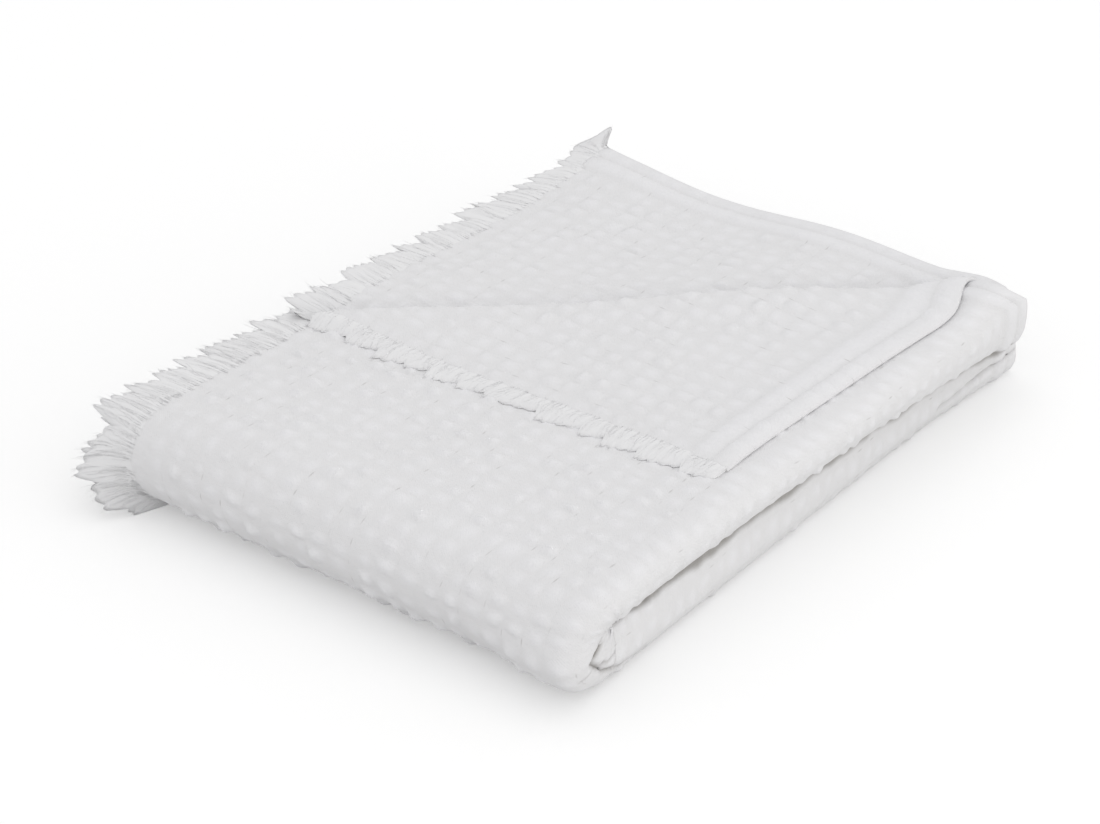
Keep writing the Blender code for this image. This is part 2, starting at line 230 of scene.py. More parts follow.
def hand_wave(x, y):
    """The slow swell of a pile that was folded and patted down by hand."""
    crest = math.cos(math.tau * (x - BACK_RIPPLE_START) / BACK_RIPPLE_PITCH)
    ripple = BACK_RIPPLE * clamp(y / TOP_RUN) ** 2 * crest
    return ripple + sum(w.height * math.sin(w.x_rate * x + w.y_rate * y + w.start) for w in WAVES)


def crease_rise(x, y):
    """How much higher the middle of the pile lies along the rolls than between its corners."""
    along = clamp(y / CREASE_RISE_END) ** CREASE_RISE_LEAN
    rise = CREASE_RISE * max(math.sin(math.pi * along), 0.0) ** CREASE_RISE_ROUND
    return rise * soft_step((x - CREASE_RISE_X) / CREASE_RISE_OVER)


# %% From the flat cloth to the pack
LOWER_SET_BACK = 0.010
LOWER_BEAK = 0.006
BEAK_START = 0.75
ROLL_SHOULDER = 0.85
ROLL_SQUARE = 0.36


def drawn_in(share):
    """How far in the lower roll lies, at this share of the way from the front fold to the hems."""
    beak = soft_step((share - BEAK_START) / (1 - BEAK_START))
    return LOWER_SET_BACK * share - LOWER_BEAK * beak


def pack_place(s, run_end, roll_reach, outer_edge, inner_edge):
    """Where a point s along the cloth lies in the four-layer pack: x, its depth, and its stretch."""
    start, x_start, depth_start = 0.0, outer_edge, 0.0
    for stretch in STRETCHES:
        x_end = {RUN_END: run_end, INNER_EDGE: inner_edge}.get(stretch.x_end, stretch.x_end)
        if s <= start + stretch.length or stretch is STRETCHES[-1]:
            break
        start += stretch.length
        x_start, depth_start = x_end, stretch.depth_end
    share = (s - start) / stretch.length
    if stretch.reach == 0:
        return mix(x_start, x_end, share), stretch.depth_end, stretch.name
    bulge = math.sin(math.pi * share ** ROLL_SHOULDER)
    if share ** ROLL_SHOULDER > 0.5:
        bulge = max(bulge, 0.0) ** ROLL_SQUARE
    x = mix(x_start, x_end, share) + stretch.reach * roll_reach * bulge
    depth = mix(depth_start, stretch.depth_end, (1 - math.cos(math.pi * share)) / 2)
    return x, depth, stretch.name


# %% From the pack to the pile
UNDER_EDGE = 0.006
EDGE_FLARE = 0.010
TOP_HEM_SHORT = 0.022
LOWEST_LAYER = 0.0024
LIP_X = 0.330
LIP_OVER = 0.080
LIP_REACH = (0.005, 0.009)
LIP_TURN = 1.2
LIP_RISES_OVER = 0.7
LIP_FADES_OVER = 0.9
LOBE_X = 0.345
LOBE_Y = 0.515
LOBE_OVER = 0.075
LOBE_HEIGHT = 0.013
SHOULDER_X = 0.385
SHOULDER_OVER = 0.045
SHOULDER_CUT = 0.007
SHOULDER_RUN = 0.035
SHOULDER_FADE = 0.014
SHOULDER_ROUND = 1.5
BACK_TIP_REACH = 0.130
BACK_TIP_LIFT = 0.011
BACK_TIP_SHIFT = 0.009
BARED_OVER = 0.060
BARED_START = 0.010
BARED_SHARE = 0.92


def fold(s, t):
    """The place in the pile of the point (s, t) of the flat cloth, before the pile is centred."""
    turn = math.pi * clamp((t - TOP_RUN) / FRONT_FOLD)
    run = max(TOP_RUN - t, t - TOP_RUN - FRONT_FOLD, 0.0)
    lower = (1 - math.cos(turn)) / 2
    y_run = FRONT_FOLD_REACH + run
    upper_reach = between(UPPER_ROLL_REACH, RUN_END, y_run)
    lower_reach = between(LOWER_ROLL_REACH, RUN_END, y_run)
    x, depth, name = pack_place(
        s,
        RUN_END - lower * drawn_in(clamp(run / TOP_RUN)),
        mix(upper_reach, lower_reach, lower),
        mix(OUTER_EDGE, UNDER_EDGE, lower) - EDGE_FLARE * math.sin(turn),
        mix(INNER_EDGE, UNDER_EDGE, lower) - EDGE_FLARE * math.sin(turn),
    )
    y = y_run - FRONT_FOLD_REACH * (1 - depth) * math.sin(turn)
    lift = 0.0
    lip = soft_step((turn - LIP_TURN) / LIP_RISES_OVER)
    lip = lip * soft_step((math.pi - turn) / LIP_FADES_OVER) * (1 - depth)
    lip *= soft_step((x - LIP_X) / LIP_OVER)
    x, y = x + LIP_REACH[0] * lip, y - LIP_REACH[1] * lip
    if turn == 0:
        y -= TOP_HEM_SHORT * run / TOP_RUN * clamp(1 - depth / SECOND_DEPTH)
        cut = SHOULDER_CUT * soft_step((x - SHOULDER_X) / SHOULDER_OVER)
        cut *= (1 - depth) ** SHOULDER_ROUND
        if name == "top run":
            cut *= soft_step(1 - crease_distances(x, y)[1] / SHOULDER_FADE)
        y -= cut * math.exp(-t / SHOULDER_RUN)
    if turn == 0 and name == "top run":
        x, y, lift = turned_back(x, y)
        lift -= FLAP_END_SINKS * (1 - soft_step(s / FLAP_END_OVER)) * clamp(lift / FLAP_SPACING)
        lift -= FLAP_SIDE_SINKS * (1 - soft_step(t / FLAP_SIDE_OVER)) * lift
        swing = clamp((s - FLAP_SWING_START) / FLAP_SWING_OVER) ** FLAP_SWING_LEAN
        swing *= 1 - soft_step(t / FLAP_SWING_WIDTH)
        ahead = -crease_distances(x, y)[1]
        x += FLAP_SWING * swing * soft_step(ahead / FLAP_SWING_FADE) * (lift > 0)
    elif turn == 0:
        bared = BARED_SHARE * soft_step((crease_distances(x, y)[1] + BARED_START) / BARED_OVER)
        depth -= bared * SECOND_DEPTH * (1 - depth) / (1 - SECOND_DEPTH)
        if name == "second run":
            corner = math.hypot(x - INNER_EDGE, y - FRONT_FOLD_REACH - TOP_RUN)
            lift = BACK_TIP_LIFT * clamp(1 - corner / BACK_TIP_REACH) ** 2
            y += BACK_TIP_SHIFT * clamp(1 - corner / BACK_TIP_REACH) ** 2
    middle = between(MIDDLE_HEIGHT, x, y) + crease_rise(x, y)
    if turn < math.pi / 2:
        outside = between(TOP_HEIGHT, x, y) + hand_wave(x, y) - LOWEST_LAYER
        lobe = LOBE_HEIGHT * soft_step((x - LOBE_X) / LOBE_OVER)
        outside += lobe * soft_step((y - LOBE_Y) / LOBE_OVER)
    else:
        outside = LOWEST_LAYER
    z = mix(middle, outside, (1 - depth) * abs(math.cos(turn))) + lift
    return Vector((x, y, z))


# %% [markdown]
# ## The waffle lattice
#
# The weave makes squares about 21 by 19 mm, in straight rows along the cloth. Each square puffs up
# on both sides, with a narrow valley round it. On the face the puffs are small and separate, and on
# the reverse they are wide and nearly fill their squares.
#
# Bump in a material would be cheaper, but the puffs show in the outline of the rolled edges and in
# the shade of the front fold, so they are real geometry. Only the fine dents on them are bump.
#
# Three things change the weave. Along the sides the cloth is turned over and stitched, with a ridge
# and a groove. In the crease between the two rolls the puffs are flattened, and the material later
# darkens the cloth there with painted shade. Towards the fringed ends it is thinner.

# %% Sizes of the weave
BORDER = 0.037
CELLS_ALONG = 81
CELLS_ACROSS = 65
CELL_LENGTH = CLOTH_LENGTH / CELLS_ALONG
CELL_WIDTH = (CLOTH_WIDTH - 2 * BORDER) / CELLS_ACROSS
GROUND_THICKNESS = 0.0018
print(f"cells of {CELL_LENGTH * 1000:.1f} by {CELL_WIDTH * 1000:.1f} mm")

# %% The thickness of a hem
HemPoint = namedtuple("HemPoint", "from_side thickness")
HEM_PROFILE = (
    HemPoint(0.0000, 0.0026),
    HemPoint(0.0012, 0.0042),
    HemPoint(0.0060, 0.0050),
    HemPoint(0.0120, 0.0048),
    HemPoint(0.0145, 0.0034),
    HemPoint(0.0158, 0.0024),
    HemPoint(0.0172, 0.0036),
    HemPoint(0.0205, 0.0052),
    HemPoint(0.0260, 0.0062),
    HemPoint(0.0310, 0.0052),
    HemPoint(0.0350, 0.0030),
    HemPoint(BORDER, GROUND_THICKNESS),
)


def hem_thickness(from_side):
    """The thickness of the turned and stitched border, this far from the cloth's side."""
    for start, end in zip(HEM_PROFILE, HEM_PROFILE[1:]):
        if from_side <= end.from_side:
            share = (from_side - start.from_side) / (end.from_side - start.from_side)
            return mix(start.thickness, end.thickness, share)
    return GROUND_THICKNESS


# %% The crease between the two rolls
CREASE_START = 0.80
LOWER_CREASE_START = (0.865, 0.660)
CREASE_MOVES_OVER = 0.30
CREASE_END_START = 0.04
CREASE_END_RUN = 0.48
CREASE_END_OVER = 0.10
CREASE_JITTER = 0.025
CREASE_JITTER_RATE = 75
CREASE_OVER = 0.11
CREASE_LAST = 1.12
CREASE_FADES_OVER = 0.10


# This depth flattens the puffs and also sets the painted shade along the crease.
def creased(s, t):
    """How deep a point lies in the crease between the two rolls, from 0 to 1."""
    share = (s - STRETCHES[0].length) / STRETCHES[1].length
    lower_run = t - TOP_RUN - FRONT_FOLD / 2
    start = CREASE_START
    if lower_run > 0:
        start = mix(*LOWER_CREASE_START, soft_step(lower_run / CREASE_MOVES_OVER))
        start += CREASE_END_START * soft_step((lower_run - CREASE_END_RUN) / CREASE_END_OVER)
    start += CREASE_JITTER * noise.noise(Vector((t * CREASE_JITTER_RATE, 0.5, 8.0)))
    ending = soft_step((CREASE_LAST - share) / CREASE_FADES_OVER)
    return soft_step((share - start) / CREASE_OVER) * ending


# %% How high the cloth puffs at a point
FACE_PUFF = 0.0032
FACE_POWER = 2.5
REVERSE_PUFF = 0.0022
REVERSE_POWER = 1.05
RELIEF_SHADE_POWER = 1.4
PUFF_VARIES = 0.9
PUFF_SIZES = (0.3, 1.35)
PUFF_SKEW = 0.9
SLOW_VARIES = 0.6
SLOW_RATE = 9
ROLL_MIDDLE = 0.450
ROLL_REACH = 0.075
ROLL_RELIEF = 0.5
CREASE_FLATTENS = 0.6


def lopsided(share, skew):
    """A share of the way across a cell, 0 and 1 at its sides, with the middle pushed over."""
    return share + skew * share * (1 - share)


def puffs(s, t):
    """How far the face and the reverse stand out from the ground of the cloth, and the puff's share,
    which sets painted shade in the valleys and a painted highlight on the puffs.
    """
    u, v = s / CELL_LENGTH, (t - BORDER) / CELL_WIDTH
    column, row = math.floor(u), math.floor(v)
    roll = soft_step(1 - abs(s - ROLL_MIDDLE) / ROLL_REACH)
    own = [noise.cell(Vector((column + 0.5, row + 0.5, k + 0.5))) - 0.5 for k in range(3)]
    slow = noise.noise(Vector((s * SLOW_RATE, t * SLOW_RATE, 4.0)))
    size = 1 + PUFF_VARIES * own[0] + SLOW_VARIES * slow
    size = min(max(size, PUFF_SIZES[0]), PUFF_SIZES[1])
    across_u = math.sin(math.pi * lopsided(u - column, PUFF_SKEW * own[1]))
    across_v = math.sin(math.pi * lopsided(v - row, PUFF_SKEW * own[2]))
    dome = max(across_u * across_v, 0.0)
    face = FACE_PUFF * size * dome ** FACE_POWER * mix(1.0, ROLL_RELIEF, roll)
    face *= 1 - CREASE_FLATTENS * creased(s, t)
    return face, REVERSE_PUFF * size * dome ** REVERSE_POWER, dome ** RELIEF_SHADE_POWER


# %% How thick the cloth is at a point
HEM_RELIEF = 0.60
HEM_EDGE = 0.006
HEM_END_SHARE = 0.5
# The hem's colour share starts at HEM_VALLEY and grows over HEM_RANGE of thickness: painted shade in
# its grooves, painted highlight on its ridges.
HEM_VALLEY = 0.0028
HEM_RANGE = 0.0040
END_FADE = 0.020
BEND_FADE = 0.045
END_RELIEF = 0.15


def cloth_section(s, t, room):
    """The middle's shift towards the face, the thickness, and the puff's share for painted shade and
    highlight, at (s, t).
    """
    from_side = min(t, CLOTH_WIDTH - t)
    from_end = min(s, CLOTH_LENGTH - s)
    bend = math.sin(math.pi * clamp((t - TOP_RUN + FRONT_FOLD / 2) / (2 * FRONT_FOLD)))
    fade = mix(END_RELIEF, 1.0, soft_step(from_end / mix(END_FADE, BEND_FADE, bend)))
    face, reverse, dome = puffs(s, t)
    if from_side < BORDER:
        rounded = soft_step(from_side / HEM_EDGE)
        relief = (face + reverse) * HEM_RELIEF * rounded
        thickness = hem_thickness(from_side) * mix(HEM_END_SHARE, 1.0, fade) + relief
        # In the hem the share paints the thick ridges lighter and the thin grooves darker.
        return 0.0, min(thickness, 2 * room), clamp((thickness - HEM_VALLEY) / HEM_RANGE)
    face = min(face, max(room - GROUND_THICKNESS / 2, 0.0))
    return (face - reverse) / 2 * fade, GROUND_THICKNESS + (face + reverse) * fade, dome * fade


# %% [markdown]
# ## The puckers at the front corner
# A pucker's shade is painted shade in the cloth's colour, and the hole is a shallow dent made dark with
# painted shade.
#
# Where the two rolls meet the front fold, the cloth is pinched into a small tear-shaped pucker, with
# a hole at its lower end. Another line runs along the far end of the lower roll, where it narrows
# to a beak. Nothing in the weave would make these, so each is pressed in one by one: a line on the flat
# cloth, how far it goes in, its half width and its shade. One that stands out has a depth below 0.
#
# The points of these lines were picked in the photograph. Their places on the flat cloth come from
# another script, which cast rays from the camera onto this pile. Some were then moved.

# %% Lines pressed into the cloth one by one
Pucker = namedtuple("Pucker", "depth half_width shade line")
PUCKERS = (
    Pucker(0.0030, 0.0015, 0.9, ((0.4675, 0.6300), (0.4644, 0.6434), (0.4614, 0.6585))),
    Pucker(0.0020, 0.0015, 0.7, ((0.4584, 0.7140), (0.4569, 0.7075), (0.4569, 0.6849))),
    Pucker(0.0040, 0.0018, 1.1, ((0.4554, 0.6604), (0.4545, 0.6750), (0.4510, 0.6950))),
    Pucker(0.0035, 0.0018, 1.0, ((0.4510, 0.6950), (0.4493, 0.7056), (0.4463, 0.7151))),
    Pucker(0.0030, 0.0016, 0.7, ((0.4463, 0.7151), (0.4408, 0.7264), (0.4386, 0.7659))),
    Pucker(0.0020, 0.0016, 0.6, ((0.4433, 0.6736), (0.4508, 0.6736))),
    # the hole: a shallow dent, made dark with painted shade
    Pucker(0.0040, 0.0042, 2.2, ((0.4615, 0.6560), (0.4600, 0.6580))),
    Pucker(-0.0025, 0.0080, 0.0, ((0.4660, 0.6850), (0.4600, 0.6950))),
    Pucker(0.0035, 0.0026, 0.5, ((0.4600, 1.2950), (0.4605, 1.2715), (0.4563, 1.2401))),
    Pucker(0.0035, 0.0026, 0.4, ((0.4563, 1.2401), (0.4520, 1.2185), (0.4478, 1.1835))),
)
PUCKERED = ((0.420, 0.500), (0.600, 1.300))


def puckered(s, t):
    """How far the puckers press the cloth in at a point, and how much painted shade they put on it."""
    if not all(low < value < high for value, (low, high) in zip((s, t), PUCKERED)):
        return 0.0, 0.0
    depth, shade = 0.0, 0.0
    for pucker in PUCKERS:
        away = 1.0
        for start, end in zip(pucker.line, pucker.line[1:]):
            start, end = Vector(start), Vector(end)
            along = clamp((Vector((s, t)) - start).dot(end - start) / (end - start).length_squared)
            away = min(away, (start.lerp(end, along) - Vector((s, t))).length)
        near = math.exp(-((away / pucker.half_width) ** 2))
        depth += pucker.depth * near
        shade = max(shade, pucker.shade * near)
    return depth, shade


# %% [markdown]
# ## A lattice that is not quite straight
#
# No rows of a soft cloth stay ruler straight. The pattern is shifted by a few millimetres in slow
# waves before it is folded, less towards the hems and ends, so that these stay where they are.

# %% Place a point of the cloth
WARP_REACH = 0.0035
WARP_RATES = (5.0, 6.5)
WARP_SIDE = 0.12
WARP_END = 0.06
KINK_SHARE = 0.5
KINK_RATE = 31


def warped(s, t):
    from_side = soft_step(min(t, CLOTH_WIDTH - t) / WARP_SIDE)
    from_end = soft_step(min(s, CLOTH_LENGTH - s) / WARP_END)
    slow, fast = WARP_RATES
    along = noise.noise(Vector((s * slow, t * fast, 1.0)))
    across = noise.noise(Vector((s * fast, t * slow, 2.0)))
    along += KINK_SHARE * noise.noise(Vector((s * KINK_RATE, t * KINK_RATE, 5.0)))
    across += KINK_SHARE * noise.noise(Vector((s * KINK_RATE, t * KINK_RATE, 6.0)))
    return s + 2 * WARP_REACH * along * from_end, t + 2 * WARP_REACH * across * from_side


def place(s, t):
    """The place of a point of the cloth in the finished pile."""
    return fold(*warped(s, t)) - PILE_MIDDLE


# %% [markdown]
# ## Weaving the sheets
#
# One mesh of the whole cloth would be too heavy to handle, so it is made in five sheets. Their
# joins lie in a valley of the weave, deep inside the pile or under it, but for a few centimetres on
# the lower roll, where the join between the top and the under sheet runs along a pucker. Where a
# sheet shows, it has six grid steps or more to a cell, and the finest are at the puckered corner.
# Inside the pile and below it, three are enough.
#
# A sheet starts as a flat grid. Its points move to their places in the pile, then out or in along
# the cloth's own normal, and Solidify gives it its thickness from a vertex group. This keeps both
# sides of the cloth and the rim in one closed piece.

# %% Grid lines for a sheet
Sheet = namedtuple("Sheet", "name along across rests_on")
SHEETS = (
    Sheet("top_cloth", ((0, 21, 6), (21, 23, 14)), ((0, 31, 6), (31, 36, 10)), "second_cloth"),
    Sheet("under_cloth", ((0, 20, 3), (20, 23, 10)), ((36, 39, 10), (39, CELLS_ACROSS, 7)), ()),
    Sheet("inner_cloth", ((23, 60, 3),), ((0, CELLS_ACROSS, 3),), "under_cloth"),
    Sheet("second_cloth", ((60, CELLS_ALONG, 6),), ((0, 37, 6),), "inner_cloth"),
    Sheet("second_under_cloth", ((60, CELLS_ALONG, 3),), ((37, CELLS_ACROSS, 3),), "under_cloth"),
)


def cell_lines(spans, pitch, start):
    """Grid lines through the cells of some spans, each (first cell, last cell, steps in a cell)."""
    lines = []
    for first, last, steps in spans:
        for step in range(first * steps, last * steps):
            lines.append(start + step / steps * pitch)
    return [*lines, start + spans[-1][1] * pitch]


def sheet_lines(sheet):
    """The lines along and across a sheet. A sheet that reaches a hem gets the hem's lines too."""
    along = cell_lines(sheet.along, CELL_LENGTH, 0.0)
    across = cell_lines(sheet.across, CELL_WIDTH, BORDER)
    hem = [point.from_side for point in HEM_PROFILE[:-1]]
    if sheet.across[0][0] == 0:
        across = hem + across
    if sheet.across[-1][1] == CELLS_ACROSS:
        across += [CLOTH_WIDTH - from_side for from_side in reversed(hem)]
    return along, across


# %% Make one sheet
THICKEST = 0.0090
LOOKS_DOWN = -0.2


def weave_sheet(sheet):
    along, across = sheet_lines(sheet)
    mesh = bmesh.new()
    columns, rows = len(along) - 1, len(across) - 1
    bmesh.ops.create_grid(mesh, x_segments=columns, y_segments=rows, size=1)
    bmesh.ops.reverse_faces(mesh, faces=mesh.faces[:])
    pattern = mesh.loops.layers.uv.new("pattern")
    flat = []
    for vertex in mesh.verts:
        column = round((vertex.co.x + 1) / 2 * columns)
        row = round((vertex.co.y + 1) / 2 * rows)
        flat.append((along[column], across[row]))
    for vertex, (s, t) in zip(mesh.verts, flat):
        vertex.co = place(s, t)
    mesh.verts.ensure_lookup_table()
    for face in mesh.faces:
        for loop in face.loops:
            loop[pattern].uv = flat[loop.vert.index]
    mesh.normal_update()
    rooms = [vertex.co.z if vertex.normal.z < LOOKS_DOWN else 1.0 for vertex in mesh.verts]
    sections = [cloth_section(s, t, room) for (s, t), room in zip(flat, rooms)]
    pressed = [puckered(s, t) for s, t in flat]
    shifts = [
        vertex.normal * (section[0] - pucker[0])
        for vertex, section, pucker in zip(mesh.verts, sections, pressed)
    ]
    for vertex, shift in zip(mesh.verts, shifts):
        vertex.co += shift
    data = bpy.data.meshes.new(sheet.name)
    mesh.to_mesh(data)
    mesh.free()
    data.shade_smooth()
    # The puff attribute sets painted shade in the valleys and a painted highlight on the puff tops.
    puff = data.attributes.new("puff", "FLOAT", "POINT")
    puff.data.foreach_set("value", [section[2] for section in sections])
    # The crease attribute is painted shade on the crease between the rolls, the puckers and the hole.
    crease = data.attributes.new("crease", "FLOAT", "POINT")
    painted_shades = [max(creased(s, t), pucker[1]) for (s, t), pucker in zip(flat, pressed)]
    crease.data.foreach_set("value", painted_shades)
    cloth = bpy.data.objects.new(sheet.name, data)
    bpy.context.scene.collection.objects.link(cloth)
    group = cloth.vertex_groups.new(name="thickness")
    for index, section in enumerate(sections):
        group.add([index], section[1] / THICKEST, "REPLACE")
    solid = cloth.modifiers.new("Thickness", "SOLIDIFY")
    solid.thickness = THICKEST
    solid.offset = 0
    solid.vertex_group = group.name
    solid.use_rim = True
    return cloth


# %% Make all sheets
sheets = {}
for sheet in SHEETS:
    sheets[sheet.name] = weave_sheet(sheet)
    print(sheet.name, "has", 4 * len(sheets[sheet.name].data.polygons), "triangles or so")

# %% [markdown]
# ## The fringe
#
# At both ends the cross threads are pulled out and the long yarns are left as a fringe. Washing
# has felted them into a soft lip that thins out into clumps and ragged tufts, with a few stray
# yarns. Particle hair alone looks like fur, thin and dark between its strands. So the felted lip is
# one body that grows out of the cloth's end, and the yarns that can be told apart lie on it.
#
# Round the front fold the fringe fans out and hangs down. It is longest half way round, and shorter
# below. These changes grow with the turn round the fold, from a start over a range, in radians.

# %% Clumps and tufts
FRINGE_LENGTH = 0.037
CLUMP_LENGTHS = (0.80, 1.12)
CLUMP_WIDTH = (0.018, 0.042)
CLUMP_LEAST = 0.010
HEM_INSET = 0.001
TUFT_WIDTH = 0.008
Clump = namedtuple("Clump", "start width length tufts")
End = namedtuple("End", "name s inside seed")
ENDS = (End("outer_fringe_yarn", 0.0, 1, 5), End("inner_fringe_yarn", CLOTH_LENGTH, -1, 6))


def make_clumps(chance):
    """Clumps of uneven width and length side by side, from hem to hem."""
    clumps, start = [], HEM_INSET
    while start < CLOTH_WIDTH - CLUMP_LEAST:
        width = min(chance.uniform(*CLUMP_WIDTH), CLOTH_WIDTH - HEM_INSET - start)
        length = FRINGE_LENGTH * chance.uniform(*CLUMP_LENGTHS)
        clumps.append(Clump(start, width, length, max(1, round(width / TUFT_WIDTH))))
        start += width
    return clumps


def tuft_offset(clump, t):
    """How far a yarn is from the middle of its tuft, as a share of the tuft: -0.5 to 0.5."""
    return (t - clump.start) / clump.width * clump.tufts % 1 - 0.5


# %% Where the fringe leaves the cloth, and which way
CLUMP_LEAN = 0.36
CLUMP_CLIFF = 0.30
CLIFF_START = 0.86
CLIFF_OVER = 0.14
TUFT_DIP = 0.14
FLAP_SHARE = 0.62
BEND_EXTRA = 0.40
Growth = namedtuple("Growth", "most start over")
FAN = Growth(math.radians(68), 0.9, 1.7)
SHORTENING = Growth(0.45, 1.6, 1.5)
DROOP = Growth(0.009, 0.35, 0.9)
UNDER_OVER = 0.05
REVERSE_UP = -0.3
STEEPEST = 0.15
CORNER_END = 1.3
CORNER_WIDTH = 0.011
CORNER_WAY = Vector((0.05, 0.25, 0.72))
NOTCH_AT = 0.027
NOTCH_WIDTH = 0.012
NOTCH_DEPTH = 0.42
FRAME_STEP = 0.002
Frame = namedtuple("Frame", "edge outward way along face length droop flap low t seed")


def grown(growth, turn):
    """How far something has grown at this turn round the front fold, in radians."""
    return growth.most * soft_step((turn - growth.start) / growth.over)


def end_frame(end, clump, t):
    """Everything that the shape of the fringe needs to know at a point of the cloth's end."""
    start, stop = max(t - FRAME_STEP, 0.0), min(t + FRAME_STEP, CLOTH_WIDTH)
    edge = place(end.s, t)
    along = (place(end.s, stop) - place(end.s, start)).normalized()
    outward = (edge - place(end.s + end.inside * FRAME_STEP, t)).normalized()
    face = outward.cross(along).normalized() * end.inside
    turn = math.pi * clamp((t - TOP_RUN) / FRONT_FOLD)
    under = soft_step((t - TOP_RUN - FRONT_FOLD) / UNDER_OVER)
    flap = end.s == 0 and turn == 0 and face.z < REVERSE_UP
    rise = min(max(outward.z, -STEEPEST), STEEPEST)
    way = Vector((outward.x, outward.y, rise)).normalized()
    fan = grown(FAN, turn) * (1 - under)
    way = way * math.cos(fan) - Vector((0, math.sin(fan), 0))
    if end.s > 0:
        way = way.lerp(CORNER_WAY, soft_step(CORNER_END - t / CORNER_WIDTH))
    notch = NOTCH_DEPTH * math.exp(-(((t - NOTCH_AT) / NOTCH_WIDTH) ** 2)) * (end.s > 0)
    share = (t - clump.start) / clump.width
    cliff = soft_step((share - CLIFF_START) / CLIFF_OVER)
    length = clump.length * (1 - CLUMP_LEAN * (1 - share) ** 1.5 - CLUMP_CLIFF * cliff)
    length *= (1 - TUFT_DIP * (2 * tuft_offset(clump, t)) ** 2) * (1 - notch)
    length *= FLAP_SHARE if flap else 1 + BEND_EXTRA * math.sin(turn)
    length *= 1 - grown(SHORTENING, turn) * (1 - under)
    droop = grown(DROOP, turn)
    low = turn > math.pi / 2
    return Frame(edge, outward, way, along, face, length, droop, flap, low, t, end.seed)


# %% The points of the fringe
BODY_INSET = 0.012
BODY_HALF = 0.0019
BODY_THIN = 0.0005
BODY_GROWN = 0.004
BODY_TAPER = 0.85
BODY_TAPER_POWER = 2.5
STREAKS = 0.28
STREAK_RATES = (170, 1.5)
LIFT_VARIES = 0.0040
LIFT_RATE = 30
SHIFT_VARIES = 0.0060
SHIFT_RATE = 38
FLAP_SINKS = 0.0008
FLAP_TIP_SINKS = 0.0003
FLAP_LIES_DOWN_OVER = 0.014
OFF_FLOOR = 0.0005
YARN_ROOT = 0.00028


def top_surface(x, y):
    """How high the top of the pile is at a place in plan, for the fringe that lies on it."""
    x, y = x + PILE_MIDDLE.x, y + PILE_MIDDLE.y
    return between(TOP_HEIGHT, x, y) + hand_wave(x, y) - FLAP_SINKS


def body_half(at, reach):
    """Half the thickness of the felted lip: thin inside the cloth and towards the tip."""
    full = soft_step((reach + BODY_INSET) / (BODY_INSET + BODY_GROWN))
    tip = clamp(reach / at.length)
    streak = noise.noise(Vector((at.t * STREAK_RATES[0], tip * STREAK_RATES[1], at.seed)))
    half = mix(BODY_THIN, BODY_HALF, full) * (1 - BODY_TAPER * tip ** BODY_TAPER_POWER)
    return half * (1 + STREAKS * streak * full)


def fringe_point(at, reach, sideways=0.0, height=0.0):
    """A point of the fringe: how far out it is, beside its root, and off the felted middle."""
    beyond = max(reach, 0.0)
    curve = (beyond / at.length) ** 2
    lift = LIFT_VARIES * noise.noise(Vector((at.t * LIFT_RATE, 7.5, at.seed))) * curve
    shift = SHIFT_VARIES * noise.noise(Vector((at.t * SHIFT_RATE, 3.5, at.seed))) * curve
    point = at.edge + at.outward * (reach - beyond) + at.way * beyond
    point += at.along * (sideways + shift) + at.face * lift
    point.z -= at.droop * curve
    half = body_half(at, reach)
    if at.flap:
        sunk = top_surface(point.x, point.y) + half - FLAP_TIP_SINKS * curve
        point.z = mix(point.z, sunk, soft_step(reach / FLAP_LIES_DOWN_OVER))
    if at.low:
        point.z = max(point.z, half + OFF_FLOOR)
    point += at.face * height
    point.z = max(point.z, YARN_ROOT)
    return point


# %% The felted lip
BODY_PITCH = 0.0017
BODY_STEPS = 8


def fringe_ring(at):
    """The outline of the lip across one place of the cloth's end, and its flat coordinates."""
    reaches = [mix(-BODY_INSET, at.length, step / BODY_STEPS) for step in range(BODY_STEPS + 1)]
    there = [fringe_point(at, reach, 0.0, body_half(at, reach)) for reach in reaches]
    back = [fringe_point(at, reach, 0.0, -body_half(at, reach)) for reach in reaches]
    flat = [(at.t, reach) for reach in reaches]
    return there + back[::-1], flat + flat[::-1]


def draw_body(mesh, pattern, end, clumps):
    """One closed strip from hem to hem."""
    rings = []
    for clump in clumps:
        count = round(clump.width / BODY_PITCH)
        for k in range(count):
            at = end_frame(end, clump, clump.start + clump.width * k / count)
            points, flat = fringe_ring(at)
            rings.append([(mesh.verts.new(point), uv) for point, uv in zip(points, flat)])
    sides = range(len(rings[0]))
    faces = [(a[k], a[k - 1], b[k - 1], b[k]) for a, b in zip(rings, rings[1:]) for k in sides]
    for corners in [*faces, rings[0][::-1], rings[-1]]:
        face = mesh.faces.new([vertex for vertex, _ in corners])
        for loop, (_, uv) in zip(face.loops, corners):
            loop[pattern].uv = uv


# %% The yarns that lie on it
YARN_STEPS = 6
YARN_TIP = 0.00012
CLOTH_END_HALF = 0.0013
Kind = namedtuple("Kind", "longer sway off")
STRAY = Kind(1.08, 0.005, (0.001, 0.006))
FELTED = Kind(1.0, 0.0010, (-0.00028, 0.0001))
STRAY_SHARE = 0.03
YARN_LENGTHS = (0.80, 1.20)
YARN_BOW = 0.0010
YARN_SIDES = (-1, 1, 1)
YARN_INSET = (0.001, 0.010)
TUFT_GATHERS = 0.75
GATHER_POWER = 1.7
ROOT_SHARE = 0.3


